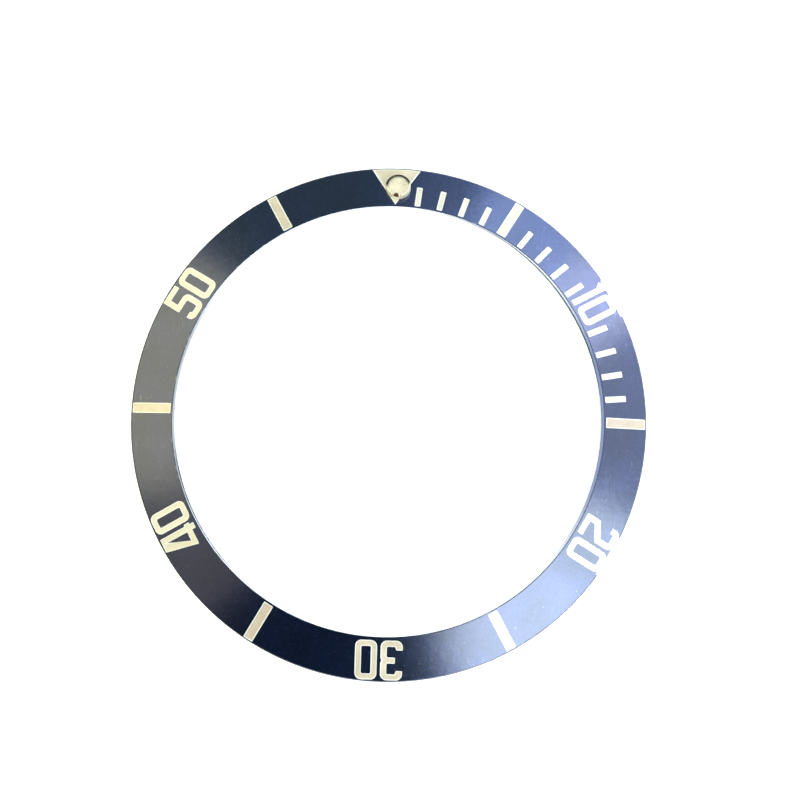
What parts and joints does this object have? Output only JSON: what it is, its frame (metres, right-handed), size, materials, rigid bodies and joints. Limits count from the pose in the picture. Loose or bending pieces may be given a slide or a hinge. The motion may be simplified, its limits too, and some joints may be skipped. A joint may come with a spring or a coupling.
{
  "type": "watch bezel insert",
  "caption": "Sloped ring insert for a diving watch's turning bezel, with an inlaid 60 minute scale, a triangle at 12 o'clock and a raised luminous pearl.",
  "frame": {"origin": "centre of the underside, on the ring's axis", "axes": "+Z along the ring's axis, out of the face; +Y towards 12 o'clock; +X towards 3 o'clock"},
  "size_m": [0.0375, 0.0374, 0.0015],
  "materials": {
    "anodised_ring": "satin dark blue anodising, bare and bright on the wall of the opening",
    "lacquer": "cream lacquer in the engraved scale",
    "triangle_lacquer": "pale champagne lacquer",
    "turned_metal": "polished, warm",
    "lume": "pale cream luminous compound",
    "lens": "clear and polished"
  },
  "bodies": {
    "root": {"insert_ring": "anodised_ring", "zero_triangle": "triangle_lacquer", "bar_05": "lacquer", "bar_15": "lacquer", "bar_25": "lacquer", "bar_35": "lacquer", "bar_45": "lacquer", "bar_55": "lacquer", "tick_01": "lacquer", "tick_02": "lacquer", "tick_03": "lacquer", "tick_04": "lacquer", "tick_06": "lacquer", "tick_07": "lacquer", "tick_08": "lacquer", "tick_09": "lacquer", "tick_11": "lacquer", "tick_12": "lacquer", "tick_13": "lacquer", "tick_14": "lacquer", "numeral_10_tens": "lacquer", "numeral_10_units": "lacquer", "numeral_20_tens": "lacquer", "numeral_20_units": "lacquer", "numeral_30_tens": "lacquer", "numeral_30_units": "lacquer", "numeral_40_tens": "lacquer", "numeral_40_units": "lacquer", "numeral_50_tens": "lacquer", "numeral_50_units": "lacquer", "pearl_cup": "turned_metal", "pearl_lume": "lume", "pearl_lens": "lens"}
  },
  "joints": []
}
